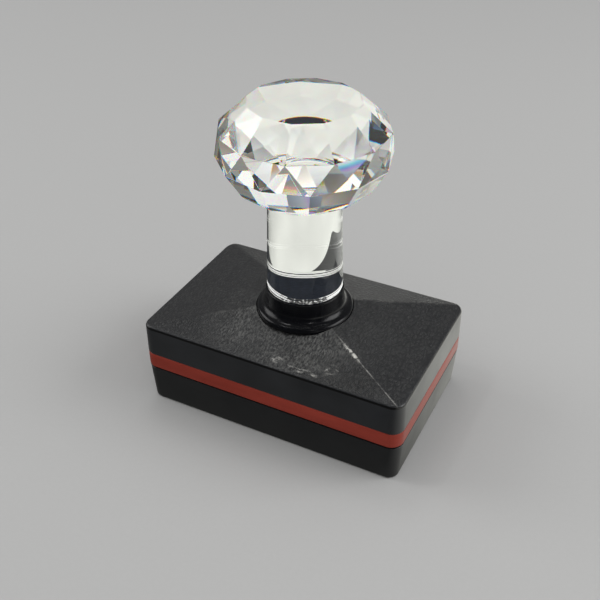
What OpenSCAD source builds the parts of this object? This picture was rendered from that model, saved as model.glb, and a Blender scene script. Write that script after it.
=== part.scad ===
// Pre-inked hand stamp with a faceted crystal knob.
// The stamp stands in its dust cap. The origin is the middle of the cap's underside,
// X runs along the body, the front faces -Y and Z points up.

/* [Body outline] */
// Length of the body over the red ring
body_l = 75; // [62:0.5:100]
// Width of the body over the red ring
body_w = 47.6; // [42:0.2:64]
// Plan radius of the upright corners
corner_r = 3.5; // [2.4:0.1:6]
// Smallest plan radius of the inner outlines
inner_r = 0.8; // [0.4:0.1:1.5]

/* [Cap] */
// Height of the cap's outside
cap_h = 11.2; // [10:0.1:14]
// Thickness of the cap's floor
cap_floor = 1.6; // [1:0.1:2.2]
// Wall of the cap at its rim
cap_wall = 1.7; // [1.4:0.1:2.2]
// Inset of the cap's rim from the red ring
cap_inset = 0.1; // [0:0.05:0.3]
// Lean of the cap's sides from rim to foot
cap_draft = 0.6; // [0:0.1:0.8]
// Radius of the cap's bottom edge
cap_edge_r = 0.8; // [0.3:0.1:1]
// Width of the shadow step around the cap's rim
step_w = 0.7; // [0.4:0.1:0.9]

/* [Index ring] */
// Height of the shadow step below the ring
ring_gap = 0.5; // [0.3:0.1:1]
// Height of the red band that shows
ring_h = 4.4; // [3:0.1:7]
// Depth of the spigot inside the cap
spigot_down = 4.5; // [3:0.1:6]
// Height of the spigot inside the shell
spigot_up = 3.4; // [2.6:0.1:5]
// Wall of the spigots
spigot_wall = 0.9; // [0.7:0.1:1.2]
// Chamfer along the edges of ring and shell
edge_c = 0.2; // [0.1:0.05:0.3]
// Radius of the snap beads on the upper spigot
bead_r = 0.45; // [0.3:0.05:0.6]
// Length of each snap bead
bead_l = 8; // [4:0.5:12]
// Height of the snap beads above the ring
bead_rise = 1.8; // [1.2:0.1:2.2]

/* [Shell] */
// Height of the shell's upright side
skirt_h = 8.8; // [8.2:0.1:14]
// Wall of the shell's side
shell_wall = 2; // [1.6:0.1:2.4]
// Lean of the shell's side from ring to eave
shell_draft = 0.1; // [0:0.05:0.4]
// Rise of the roof's point above the eave
roof_rise = 6; // [4.5:0.1:9]
// Upright thickness of the roof
roof_t = 2; // [1.4:0.1:2.6]
// Radius that rounds the eave
eave_r = 0.8; // [0.3:0.1:1.2]
// Thickness of the hub under the collar
hub_t = 2.4; // [1.8:0.1:3.4]
// Rim of the hub around the collar's recess
hub_rim = 1.8; // [1.2:0.1:3]

/* [Collar] */
// Radius of the collar's lip
lip_r = 13; // [12:0.1:16]
// Radius that rounds the lip
lip_round = 1.1; // [0.6:0.1:1.4]
// Radius of the collar's neck
neck_r = 10.4; // [9.4:0.1:11]
// Radius of the hollow between neck and lip
flare_r = 2.4; // [1.6:0.1:3]
// Height of the collar above its recess
collar_h = 7.8; // [7.6:0.1:12]
// Radius of the collar's spigot through the hub
hub_pin_r = 5; // [4.2:0.1:7]
// Thickness of the adhesive under the stem
bond_t = 0.3; // [0.1:0.05:0.6]

/* [Handle screw] */
// Thread diameter of the handle screw
screw_d = 4; // [3:0.5:5]
// Grip of the screw in the insert
screw_grip = 5.2; // [3:0.1:5.8]
// Diameter of the screw's head
head_d = 7.6; // [7:0.1:9]
// Height of the screw's head
head_h = 2.4; // [1.8:0.1:3]
// Outer diameter of the washer
washer_d = 14; // [11:0.5:18]
// Thickness of the washer
washer_t = 0.9; // [0.5:0.1:1.6]
// Wall of the brass insert
insert_wall = 1; // [0.7:0.1:1.4]
// Length of the brass insert
insert_l = 6; // [6:0.1:8]

/* [Crystal] */
// Radius of the stem at its foot
stem_r = 10; // [8:0.1:10.4]
// Radius of the stem at the knob
stem_top_r = 9.3; // [7:0.1:10]
// Length of the stem
stem_l = 26.5; // [18:0.5:45]
// Bevel around the stem's foot
stem_bevel = 0.3; // [0.1:0.05:0.6]
// Facets around the knob
facets = 12; // [8:1:16]
// Turn of the knob's facets about the stem, in degrees
head_turn = 15; // [0:0.1:45]
// Radius of the knob's flat underside
base_r = 10.8; // [10.6:0.1:12]
// Radius of the lower ring of facet corners
under_r = 17.4; // [16.5:0.1:18]
// Height of the lower ring above the stem
under_h = 4.2; // [3.8:0.1:5]
// Radius of the girdle's facet corners
girdle_r = 21.6; // [21.2:0.1:24]
// Height of the girdle above the stem
girdle_h = 11; // [10:0.1:13]
// Radius of the ring of facet corners under the crown
shoulder_r = 20.9; // [20.5:0.1:21]
// Height of that ring above the stem
shoulder_h = 17.9; // [17:0.1:18.5]
// Radius of the crown's ring of facet corners
crown_r = 17.4; // [17.3:0.1:18.2]
// Height of the crown's ring as a share of the way from shoulder to table
crown_share = 0.43; // [0.42:0.01:0.5]
// Radius of the flat table on top
table_r = 13.7; // [13:0.1:14]
// Height of the table above the stem
table_h = 24.4; // [22:0.1:28]

/* [Die and carrier] */
// Free height between cap floor and bezel
bezel_float = 0.6; // [0.3:0.1:1]
// Depth of the die's face inside the bezel
die_recess = 2.6; // [1.5:0.1:2.8]
// Height by which the die's face stands out of its frame
die_proud = 1; // [0.5:0.1:1.5]
// Thickness of the frame's face
frame_t = 1.4; // [1:0.1:2]
// Wall of the frame's rim
frame_wall = 0.7; // [0.5:0.05:1]
// Height of the frame's rim above its face
frame_rim = 1.8; // [1:0.1:2.4]
// Thickness of the die's flange
flange_t = 2.8; // [2.5:0.1:3.4]
// Ledge of the frame under the die's flange
ledge = 1.1; // [0.6:0.1:2]
// Thickness of the ink felt
felt_t = 2.6; // [2:0.1:4]
// Thickness of the carrier's plate
plate_t = 2.6; // [2.2:0.1:3.4]
// Wall of the carrier's tray
tray_wall = 1.2; // [0.8:0.1:1.6]
// Diameter of the carrier screws
cs_d = 2; // [1.6:0.1:2.4]
// Head diameter of the carrier screws
cs_head_d = 4.2; // [3.6:0.1:4.8]
// Length of the carrier screws
cs_l = 9; // [6:0.5:9.5]

/* [Bezel and springs] */
// Wall of the bezel
bezel_wall = 1.2; // [0.9:0.1:1.6]
// Stroke of the bezel when the stamp is pressed
press = 3; // [2:0.1:3.2]
// Thickness of the bezel's corner lugs
lug_t = 2; // [1.5:0.1:2.6]
// Distance of the guide posts from the bezel's inner faces
post_in = 5.9; // [5.2:0.1:7]
// Radius of the guide posts
post_r = 2.5; // [2:0.1:2.8]
// Length of the springs when the stamp is pressed
spring_pressed = 3.6; // [3.3:0.1:4]
// Wire diameter of the springs
wire_d = 0.6; // [0.4:0.05:0.7]
// Turns of each spring
coils = 4.25; // [3:0.25:4.5]

/* [Fits] */
// Gap between the lower spigot and the cap
cap_fit = 0.2; // [0.1:0.05:0.3]
// Gap between the upper spigot and the shell
shell_fit = 0.1; // [0.05:0.05:0.2]
// Gap around each snap bead
bead_fit = 0.15; // [0.1:0.05:0.2]
// Gap between the bezel and the ring's bore
slide_fit = 0.25; // [0.2:0.05:0.4]
// Gap between the bezel and the carrier
carrier_fit = 0.4; // [0.3:0.05:0.6]
// Gap of pieces that sit in the tray or on its rim
tray_fit = 0.15; // [0.1:0.05:0.3]
// Gap between the die's face and its window
window_fit = 0.3; // [0.2:0.05:0.5]
// Gap between the collar's lip and its recess
recess_fit = 0.15; // [0.1:0.05:0.3]
// Gap around pins, screws and guide posts
pin_fit = 0.1; // [0.05:0.01:0.15]
// Gap of the insert in its bore, closed by its knurl
insert_fit = 0.02; // [0.01:0.01:0.05]
// Rest gap between the bezel's lugs and the carrier
stop_gap = 0.1; // [0.05:0.05:0.2]
// Gap between the springs' wire and what it seats on
seat_gap = 0.05; // [0.02:0.01:0.1]
// Gap between the springs' wire and the guide posts
spring_fit = 0.35; // [0.3:0.05:0.5]

/* [Hidden] */

$fn = 96;
hull_fn = 32;
over = 1;
sliver = 0.01;

// Insets of the nested outlines from the body's outline, from the outside in
cap_bore_in = cap_inset + cap_wall;
spigot_in = cap_bore_in + cap_fit;
ring_bore_in = max(spigot_in, shell_wall + shell_fit) + spigot_wall;
bezel_in = ring_bore_in + slide_fit;
bezel_bore_in = bezel_in + bezel_wall;
carrier_in = bezel_bore_in + carrier_fit;
frame_bore_in = carrier_in + frame_wall;
tray_in = frame_bore_in + tray_fit;
tray_bore_in = tray_in + tray_wall;
flange_in = tray_bore_in + tray_fit;
window_in = flange_in + ledge;
face_in = window_in + window_fit;

// Heights, from the table up
ring_z = cap_h + ring_gap;
skirt_z = ring_z + ring_h;
eave_z = skirt_z + skirt_h;
apex_z = eave_z + roof_rise;
bezel_z = cap_floor + bezel_float;
die_z = bezel_z + die_recess;
frame_z = die_z + die_proud;
flange_z = frame_z + frame_t;
rim_z = flange_z + frame_rim;
felt_z = flange_z + flange_t;
plate_z = felt_z + felt_t;
plate_top = plate_z + plate_t;
cs_head_h = plate_t / 2;
lug_z = plate_top + stop_gap;
lug_top = lug_z + lug_t;
seat_z = lug_top + press + spring_pressed;

// The eave's rounding turns from upright to the roof's slope and ends on the front slope
eave_a = 75;
eave_in = shell_draft + eave_r * (1 - cos(eave_a));
eave_top = eave_z + roof_rise * eave_in / (body_w / 2);

// The recess for the collar is level with the roof where the lip is nearest the eave
recess_r = lip_r + recess_fit;
recess_z = eave_z + roof_rise * (1 - lip_r / (body_w / 2));
hub_r = recess_r + hub_rim;
hub_z = recess_z - hub_t;
neck_z = recess_z + collar_h;
stem_z = neck_z + bond_t;
head_z = stem_z + stem_l;
pin_z = hub_z + pin_fit;
insert_r = screw_d / 2 + pin_fit / 2 + insert_wall;
washer_z = hub_z - washer_t;

// Guide posts with their springs, one per corner
post_x = body_l / 2 - bezel_bore_in - post_in;
post_y = body_w / 2 - bezel_bore_in - post_in;
wire_r = wire_d / 2;
coil_r = post_r + spring_fit + wire_r;
pad_r = coil_r + wire_d;
lug_half = pad_r + wire_r;
corners = [for (sx = [-1, 1], sy = [-1, 1]) [sx * post_x, sy * post_y]];

// Rounded rectangle at an inset from the body's outline
module outline(inset) {
    l = body_l - 2 * inset;
    w = body_w - 2 * inset;
    r = max(corner_r - inset, inner_r);
    square([l, w - 2 * r], center = true);
    square([l - 2 * r, w], center = true);
    for (x = [-1, 1], y = [-1, 1]) {
        translate([x * (l / 2 - r), y * (w / 2 - r)]) circle(r = r);
    }
}

// Upright block of that outline between two heights
module block(inset, z0, z1) {
    translate([0, 0, z0]) linear_extrude(height = z1 - z0) outline(inset);
}

// Thin slice of that outline, for blends
module slice(inset, z) {
    block(inset, z, z + sliver, $fn = hull_fn);
}

// Frame of that outline, open in the middle
module frame_block(inset, bore, z0, z1) {
    difference() {
        block(inset, z0, z1);
        block(bore, z0 - over, z1 + over);
    }
}

// Gable across one axis: upright sides up to the eave, then two slopes to the ridge
module gable(span, depth, drop) {
    h = span / 2;
    translate([0, depth / 2, 0]) rotate([90, 0, 0]) linear_extrude(height = depth)
        polygon([[-h, 0], [h, 0], [h, eave_z - drop], [0, apex_z - drop], [-h, eave_z - drop]]);
}

// Four-sided roof over the whole outline, lowered by drop
module roof(drop) {
    intersection() {
        gable(body_l, body_w + 2 * over, drop);
        rotate([0, 0, 90]) gable(body_w, body_l + 2 * over, drop);
    }
}

// Points of an arc in a profile
function arc(c, r, a0, a1, steps) =
    [for (i = [0 : steps]) let (a = a0 + (a1 - a0) * i / steps) c + r * [cos(a), sin(a)]];

module cap() {
    color("#15171a") difference() {
        union() {
            hull() {
                for (a = [0 : 22.5 : 90]) {
                    slice(cap_inset + cap_draft + cap_edge_r * (1 - sin(a)), cap_edge_r * (1 - cos(a)));
                }
                slice(cap_inset, cap_h - sliver);
            }
            block(step_w, cap_h - over, ring_z);
        }
        block(cap_bore_in, cap_floor, ring_z + over);
    }
}

module index_ring() {
    color("#8a2f26") {
        difference() {
            hull() {
                slice(edge_c, ring_z);
                slice(0, ring_z + edge_c);
                slice(0, skirt_z - edge_c - sliver);
                slice(edge_c, skirt_z - sliver);
            }
            block(ring_bore_in, ring_z - over, skirt_z + over);
        }
        frame_block(spigot_in, ring_bore_in, ring_z - spigot_down, ring_z + over);
        frame_block(shell_wall + shell_fit, ring_bore_in, skirt_z - over, skirt_z + spigot_up);
        difference() {
            snap_beads(bead_r, bead_l);
            block(ring_bore_in, skirt_z, skirt_z + spigot_up);
        }
    }
}

// Round beads along both long sides of the upper spigot
module snap_beads(r, l) {
    for (x = [-1, 1], y = [-1, 1]) {
        translate([x * post_x / 2, y * (body_w / 2 - shell_wall - shell_fit), skirt_z + bead_rise])
            rotate([0, 90, 0]) cylinder(r = r, h = l, center = true);
    }
}

// Outside of the shell: upright side with a rounded eave, and the four slopes
module shell_solid() {
    hull() {
        slice(edge_c, skirt_z);
        slice(0, skirt_z + edge_c);
        for (a = [0 : eave_a / 5 : eave_a]) {
            slice(shell_draft + eave_r * (1 - cos(a)), eave_top - eave_r * (sin(eave_a) - sin(a)) - sliver);
        }
    }
    intersection() {
        roof(0);
        block(eave_in, skirt_z + over, apex_z);
    }
}

module top_shell() {
    color("#1b1d20") difference() {
        union() {
            difference() {
                shell_solid();
                intersection() {
                    roof(roof_t);
                    block(shell_wall, skirt_z - over, apex_z);
                }
            }
            intersection() {
                shell_solid();
                union() {
                    translate([0, 0, hub_z]) cylinder(r = hub_r, h = apex_z - hub_z);
                    for (c = corners) {
                        translate([c.x, c.y, seat_z]) cylinder(r = pad_r, h = apex_z - seat_z);
                    }
                }
            }
            for (c = corners) {
                translate([c.x, c.y, plate_top]) cylinder(r = post_r, h = seat_z + sliver - plate_top);
            }
        }
        translate([0, 0, recess_z]) cylinder(r = recess_r, h = roof_rise);
        translate([0, 0, hub_z - over]) cylinder(r = hub_pin_r + pin_fit, h = hub_t + 2 * over);
        for (c = corners) {
            translate([c.x, c.y, plate_top - over])
                cylinder(d = cs_d + pin_fit, h = cs_l - plate_t + 2 * over);
        }
        snap_beads(bead_r + bead_fit, bead_l + 2 * bead_fit);
    }
}

module collar() {
    lip_c = [lip_r - lip_round, lip_round];
    flare_c = [neck_r + flare_r, 2 * lip_round + flare_r * sin(70)];
    bore = insert_r + insert_fit;
    color("#101113") translate([0, 0, recess_z]) difference() {
        union() {
            rotate_extrude() polygon(concat(
                [[0, 0]],
                arc(lip_c, lip_round, -90, 70, 10),
                arc(flare_c, flare_r, 250, 180, 8),
                arc([neck_r - edge_c, collar_h - edge_c], edge_c, 0, 90, 3),
                [[0, collar_h]]
            ));
            translate([0, 0, pin_z - recess_z]) cylinder(r = hub_pin_r, h = hub_t + over);
        }
        translate([0, 0, pin_z - recess_z - over]) cylinder(r = bore, h = insert_l + 2 * over);
    }
}

module bond_disc() {
    color("#08080a") translate([0, 0, neck_z]) cylinder(r = stem_r - stem_bevel, h = bond_t);
}

module crystal_stem() {
    color("#e8f1f4", 0.4) translate([0, 0, stem_z]) rotate_extrude() polygon([
        [0, 0], [stem_r - stem_bevel, 0], [stem_r, stem_bevel], [stem_top_r, stem_l], [0, stem_l]
    ]);
}

crown_h = shoulder_h + (table_h - shoulder_h) * crown_share;
// Rings of facet corners from the underside up: radius, height and turn in half steps
head_rings = [
    [base_r, 0, 0],
    [under_r, under_h, 1],
    [girdle_r, girdle_h, 1],
    [shoulder_r, shoulder_h, 0],
    [crown_r, crown_h, 1],
    [table_r, table_h, 0]
];
head_points = [for (g = head_rings, i = [0 : facets - 1])
    let (a = head_turn + (i + g[2] / 2) * 360 / facets) [g[0] * cos(a), g[0] * sin(a), g[1]]];

// Numbers of the corners of each ring, counted round the ring
function base_n(i) = i % facets;
function under_n(i) = facets + i % facets;
function girdle_n(i) = 2 * facets + i % facets;
function shoulder_n(i) = 3 * facets + i % facets;
function crown_n(i) = 4 * facets + i % facets;
function table_n(i) = 5 * facets + i % facets;

// Facets in one step round the knob, from the underside up
function facet_step(i) = [
    [base_n(i), under_n(i), base_n(i + 1)],
    [base_n(i + 1), under_n(i), under_n(i + 1)],
    [under_n(i), girdle_n(i), girdle_n(i + 1), under_n(i + 1)],
    [girdle_n(i), shoulder_n(i + 1), girdle_n(i + 1)],
    [girdle_n(i), shoulder_n(i), shoulder_n(i + 1)],
    [shoulder_n(i), crown_n(i), shoulder_n(i + 1)],
    [shoulder_n(i + 1), crown_n(i), table_n(i + 1)],
    [shoulder_n(i + 1), table_n(i + 1), crown_n(i + 1)],
    [crown_n(i), table_n(i), table_n(i + 1)]
];

module crystal_head() {
    sides = [for (i = [0 : facets - 1], f = facet_step(i)) f];
    under = [for (i = [0 : facets - 1]) base_n(i)];
    top = [for (i = [facets - 1 : -1 : 0]) table_n(i)];
    color("#eef5f7", 0.4) translate([0, 0, head_z])
        polyhedron(points = head_points, faces = concat([under], sides, [top]));
}

module collar_insert() {
    color("#b5913f") translate([0, 0, pin_z]) difference() {
        cylinder(r = insert_r, h = insert_l);
        translate([0, 0, -over]) cylinder(d = screw_d + pin_fit, h = insert_l + 2 * over);
    }
}

module handle_screw() {
    slot = head_d / 6;
    color("#a9adb2") difference() {
        union() {
            translate([0, 0, washer_z - head_h]) cylinder(d = head_d, h = head_h);
            translate([0, 0, washer_z - sliver]) cylinder(d = screw_d, h = washer_t + screw_grip + sliver);
        }
        for (a = [0, 90]) {
            translate([0, 0, washer_z - head_h]) rotate([0, 0, a])
                cube([head_d * 0.6, slot, head_h], center = true);
        }
    }
}

module screw_washer() {
    color("#b9bdc2") translate([0, 0, washer_z]) difference() {
        cylinder(d = washer_d, h = washer_t);
        translate([0, 0, -over]) cylinder(d = screw_d + 2 * pin_fit, h = washer_t + 2 * over);
    }
}

module die_carrier() {
    color("#24262a") difference() {
        union() {
            block(carrier_in, plate_z, plate_top);
            frame_block(carrier_in, tray_bore_in, rim_z + tray_fit, plate_z + over);
            frame_block(tray_in, tray_bore_in, flange_z + tray_fit, rim_z + over);
        }
        for (c = corners) {
            translate([c.x, c.y, plate_z - over]) cylinder(d = cs_d + 2 * pin_fit, h = plate_t + 2 * over);
            translate([c.x, c.y, plate_z - over]) cylinder(d = cs_head_d + 2 * pin_fit, h = cs_head_h + over);
        }
    }
}

module carrier_screws() {
    slot = cs_head_d / 6;
    color("#a9adb2") for (c = corners) {
        translate([c.x, c.y, plate_z]) difference() {
            union() {
                cylinder(d = cs_head_d, h = cs_head_h);
                cylinder(d = cs_d, h = cs_l);
            }
            for (a = [0, 90]) {
                rotate([0, 0, a]) cube([cs_head_d * 0.6, slot, cs_head_h], center = true);
            }
        }
    }
}

module ink_felt() {
    color("#4a1420") block(flange_in, felt_z, plate_z);
}

module stamp_die() {
    color("#7a2430") {
        block(flange_in, flange_z, felt_z);
        block(face_in, die_z, flange_z + over);
    }
}

module die_frame() {
    color("#24262a") {
        frame_block(carrier_in, window_in, frame_z, flange_z);
        frame_block(carrier_in, frame_bore_in, flange_z - over, rim_z);
    }
}

module bezel() {
    lug_x = body_l / 2 - bezel_in - inner_r / 2;
    lug_y = body_w / 2 - bezel_in - inner_r / 2;
    color("#202226") difference() {
        union() {
            frame_block(bezel_in, bezel_bore_in, bezel_z, lug_top);
            for (c = corners) {
                sx = sign(c.x);
                sy = sign(c.y);
                dx = lug_x - post_x + lug_half;
                dy = lug_y - post_y + lug_half;
                translate([sx * (lug_x - dx / 2), sy * (lug_y - dy / 2), lug_z + lug_t / 2])
                    cube([dx, dy, lug_t], center = true);
            }
        }
        for (c = corners) {
            translate([c.x, c.y, lug_z - over]) cylinder(r = post_r + pin_fit, h = lug_t + 2 * over);
        }
    }
}

// Centre line of a spring's wire, eight points to a turn
rings_per_turn = 8;
wire_sides = 6;
wire_steps = round(coils * rings_per_turn);
wire_z0 = lug_top + seat_gap + wire_r;
wire_z1 = seat_z - seat_gap - wire_r;
wire_rise = (wire_z1 - wire_z0) / wire_steps;
wire_line = [for (i = [0 : wire_steps])
    let (a = i * 360 / rings_per_turn) [coil_r * cos(a), coil_r * sin(a), wire_z0 + i * wire_rise]];

// Corners of the wire's cross-sections, square to the helix
wire_slope = atan(wire_rise * rings_per_turn / (2 * PI * coil_r));
wire_points = [for (i = [0 : wire_steps], s = [0 : wire_sides - 1])
    let (
        a = i * 360 / rings_per_turn,
        q = s * 360 / wire_sides,
        out = [cos(a), sin(a), 0],
        up = [sin(wire_slope) * sin(a), -sin(wire_slope) * cos(a), cos(wire_slope)]
    )
    wire_line[i] + wire_r * (cos(q) * out + sin(q) * up)];

// The two triangles of one side of the wire between two cross-sections
function wire_pair(i, s) =
    let (
        n = wire_sides,
        t = (s + 1) % n,
        lo = i * n,
        hi = lo + n
    )
    [[lo + s, hi + s, lo + t], [lo + t, hi + s, hi + t]];

// Least gap of a spring's wire to itself, from points half a turn or more apart
wire_gap = min([for (i = [0 : wire_steps], j = [0 : wire_steps])
    if (j - i >= rings_per_turn / 2) norm(wire_line[j] - wire_line[i])]) - wire_d;

module spring(c) {
    n = wire_sides;
    sides = [for (i = [0 : wire_steps - 1], s = [0 : n - 1], f = wire_pair(i, s)) f];
    first = [for (s = [0 : n - 1]) s];
    last = [for (s = [n - 1 : -1 : 0]) wire_steps * n + s];
    color("#b9bdc2") translate([c.x, c.y, 0])
        polyhedron(points = wire_points, faces = concat([first], sides, [last]));
    echo(least_wire_gap = wire_gap);
}

module spring_front_left() { spring([-post_x, -post_y]); }
module spring_front_right() { spring([post_x, -post_y]); }
module spring_rear_left() { spring([-post_x, post_y]); }
module spring_rear_right() { spring([post_x, post_y]); }

cap();
index_ring();
top_shell();
collar();
bond_disc();
crystal_stem();
crystal_head();
collar_insert();
handle_screw();
screw_washer();
die_carrier();
carrier_screws();
ink_felt();
stamp_die();
die_frame();
bezel();
spring_front_left();
spring_front_right();
spring_rear_left();
spring_rear_right();
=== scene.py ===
"""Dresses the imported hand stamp: clear knob and stem, black collar, shell and cap, red ring and die."""

import math

import bmesh
import bpy
import numpy as np
from bpy.props import FloatProperty, FloatVectorProperty, IntProperty, PointerProperty
from mathutils import Matrix, Vector


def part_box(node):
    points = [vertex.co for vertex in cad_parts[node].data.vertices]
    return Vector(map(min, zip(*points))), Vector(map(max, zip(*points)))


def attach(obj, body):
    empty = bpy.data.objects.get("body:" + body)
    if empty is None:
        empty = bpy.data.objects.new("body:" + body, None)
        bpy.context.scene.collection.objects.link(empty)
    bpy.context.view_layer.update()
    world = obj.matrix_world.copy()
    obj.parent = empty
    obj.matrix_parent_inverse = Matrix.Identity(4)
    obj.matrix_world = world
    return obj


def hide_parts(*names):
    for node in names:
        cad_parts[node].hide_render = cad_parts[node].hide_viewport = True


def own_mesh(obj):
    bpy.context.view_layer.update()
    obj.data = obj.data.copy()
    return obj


bl_info = {
    "name": "Crystal Knob Stamp",
    "version": (1, 0, 0),
    "blender": (4, 5, 0),
    "location": "View3D > Sidebar > Stamp",
    "description": "Builds the visible pieces of a pre-inked hand stamp around its solids",
    "category": "Object",
}

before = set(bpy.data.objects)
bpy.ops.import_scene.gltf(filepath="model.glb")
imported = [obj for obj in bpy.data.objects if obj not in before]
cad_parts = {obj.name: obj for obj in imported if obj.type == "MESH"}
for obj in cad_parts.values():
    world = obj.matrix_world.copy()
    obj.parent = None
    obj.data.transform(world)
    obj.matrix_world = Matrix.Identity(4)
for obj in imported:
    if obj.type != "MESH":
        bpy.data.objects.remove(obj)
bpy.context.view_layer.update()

MM = 0.001
CAP_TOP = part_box("cap")[1].z
BOND_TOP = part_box("bond_disc")[1].z
POST_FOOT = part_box("top_shell")[0].z
RING_LO, RING_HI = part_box("index_ring")
COLLAR_LO, COLLAR_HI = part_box("collar")
STEM_LO, STEM_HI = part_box("crystal_stem")
HEAD_LO, HEAD_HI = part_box("crystal_head")
SPRING_LO, SPRING_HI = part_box("spring_front_left")

# Points around the collar, a post, the stem under each facet, a turn of a spring and its wire
COLLAR_POINTS = 144
POST_POINTS = 40
STEM_POINTS = 8
COIL_POINTS = 28
WIRE_POINTS = 10

# Refractive index of the crystal, and of red and blue light where it first enters
GLASS_INDEX = 1.52
RED_INDEX, BLUE_INDEX = 1.511, 1.53

# Material slots of the crystal after its facets
CLEAR, GROUND, WETTED = 1, 2, 3


def length(name, description, size, lowest=0):
    """A length property, given in millimetres and kept in metres."""
    kind = {"min": lowest * MM, "unit": "LENGTH", "subtype": "DISTANCE", "precision": 5}
    return FloatProperty(name=name, description=description, default=size * MM, **kind)


def angle(name, description, degrees):
    """An angle property, given in degrees."""
    return FloatProperty(name=name, description=description, default=math.radians(degrees), subtype="ANGLE")


def number(name, description, default):
    """A plain number property."""
    return FloatProperty(name=name, description=description, default=default, min=0.0)


def colour(name, description, default):
    """A linear colour property."""
    kind = {"size": 3, "min": 0.0, "max": 1.0, "subtype": "COLOR"}
    return FloatVectorProperty(name=name, description=description, default=default, **kind)


class StampSizes(bpy.types.PropertyGroup):
    """Sizes of the visible pieces."""

    body_length: length("Body length", "Outside length over the red ring", (RING_HI.x - RING_LO.x) / MM)
    body_width: length("Body width", "Outside width over the red ring", (RING_HI.y - RING_LO.y) / MM)
    corner_radius: length("Corner radius", "Plan radius of the upright corners", 3.5)
    inner_radius: length("Inner radius", "Smallest plan radius of inner outlines", 0.8)
    cap_height: length("Cap height", "Height of the cap's outside", 11.2)
    cap_lip: length("Cap lip", "Height of the cap's inner lip", CAP_TOP / MM)
    cap_floor: length("Cap floor", "Thickness of the cap's floor", 1.6)
    cap_bore: length("Cap bore inset", "Inset of the cap's inside from the outline", 1.8)
    cap_inset: length("Cap inset", "Inset of the cap's rim from the outline", 0.1)
    cap_draft: length("Cap draft", "Lean of the cap's sides", 0.6)
    cap_edge: length("Cap edge", "Radius of the cap's bottom edge", 0.8)
    cap_rim: length("Cap rim", "Radius of the cap's upper edge", 0.15)
    cap_fillet: length("Cap fillet", "Radius inside the cap, where wall and floor meet", 0.4)
    step_width: length("Step width", "Width of the shadow step on the cap's rim", 0.7)
    ring_height: length("Ring height", "Height of the red band", 4.4)
    ring_spigot: length("Lower spigot inset", "Inset of the ring's lower spigot", 2.0)
    shell_spigot: length("Upper spigot inset", "Inset of the ring's upper spigot", 2.1)
    ring_bore: length("Ring bore inset", "Inset of the ring's bore", 3.0)
    edge_round: length("Edge rounding", "Rounding of the ring's, the shell's and the die's edges", 0.2)
    skirt_height: length("Skirt height", "Height of the shell's upright side", 8.8)
    shell_wall: length("Shell wall", "Wall of the shell's side", 2.0)
    shell_draft: length("Shell draft", "Lean of the shell's side", 0.1)
    roof_rise: length("Roof rise", "Rise of the roof's point above the eave", 6.0)
    roof_wall: length("Roof wall", "Upright thickness of the roof", 2.0)
    eave_radius: length("Eave radius", "Rounding of the eave", 0.8)
    post_radius: length("Post radius", "Radius of the posts that guide the springs", 2.5)
    pad_radius: length("Pad radius", "Radius of the springs' seats under the roof", 4.05)
    seat_gap: length("Seat gap", "Gap between a spring and its seat", 0.05)
    hub_rim: length("Hub rim", "Rim of the hub around the collar's recess", 1.8)
    hub_wall: length("Hub wall", "Thickness of the hub under the collar", 2.4)
    hub_pin: length("Hub pin", "Radius of the collar's spigot", 5.0)
    pin_gap: length("Pin gap", "Gap around that spigot and below its end", 0.1)
    recess_gap: length("Recess gap", "Gap between the collar's lip and its recess", 0.15)
    lip_radius: length("Lip radius", "Radius of the collar's lip", COLLAR_HI.x / MM)
    lip_round: length("Lip rounding", "Rounding of the collar's lip", 1.1)
    neck_radius: length("Neck radius", "Radius of the collar's neck", 10.4)
    flare_radius: length("Flare radius", "Radius of the hollow above the lip", 2.4)
    insert_radius: length("Insert radius", "Radius of the bore for the brass insert", 3.07)
    insert_length: length("Insert length", "Depth of the bore for the brass insert", 7.0)
    stem_radius: length("Stem radius", "Radius of the stem at its foot", STEM_HI.x / MM)
    stem_top: length("Stem top", "Radius of the stem at the knob", 9.3)
    stem_bevel: length("Stem bevel", "Height of a ground ring at the stem's foot", 0.7)
    stem_groove: length("Stem groove", "Depth of the grooves between those rings", 0.1)
    glue_lap: length("Glue lap", "How deep the stem's foot stands in the adhesive", 0.04)
    joint_fillet: length("Joint fillet", "Fillet between the stem and the knob", 0.85)
    base_radius: length("Base radius", "Radius of the knob's underside", 10.8)
    under_radius: length("Under radius", "Radius of the lower facet corners", 17.4)
    under_height: length("Under height", "Height of the lower facet corners", 4.2)
    girdle_radius: length("Girdle radius", "Radius of the girdle's corners", 21.6)
    girdle_height: length("Girdle height", "Height of the girdle", 11.0)
    shoulder_radius: length("Shoulder radius", "Radius of the ring under the crown", 20.9)
    shoulder_height: length("Shoulder height", "Height of the ring under the crown", 17.9)
    crown_radius: length("Crown radius", "Radius of the upper facet corners", 17.4)
    crown_share: number("Crown share", "Height of the crown's corners between shoulder and table", 0.43)
    table_radius: length("Table radius", "Radius of the flat table", 13.7)
    facets: IntProperty(name="Facets", description="Facets around the knob", default=12, min=3)
    facet_edge: length("Facet edge", "Width of the polished facet edges", 0.26)
    knob_turn: angle("Knob turn", "Turn of the facets about the stem", 15)
    wire: length("Spring wire", "Wire diameter of the springs", 0.6)
    spring_turns: number("Spring turns", "Turns of each spring", 4.25)
    die_flange: length("Die flange", "Thickness of the die's flange", 2.8)
    die_ledge: length("Die ledge", "Width of the frame's ledge under the flange", 1.1)
    die_gap: length("Die gap", "Gap between the die's face and the frame's window", 0.3)
    frame_wall: length("Frame wall", "Wall of the die's frame", 0.7)
    felt_round: length("Felt rounding", "Rounding of the felt's edges", 0.4)


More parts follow.
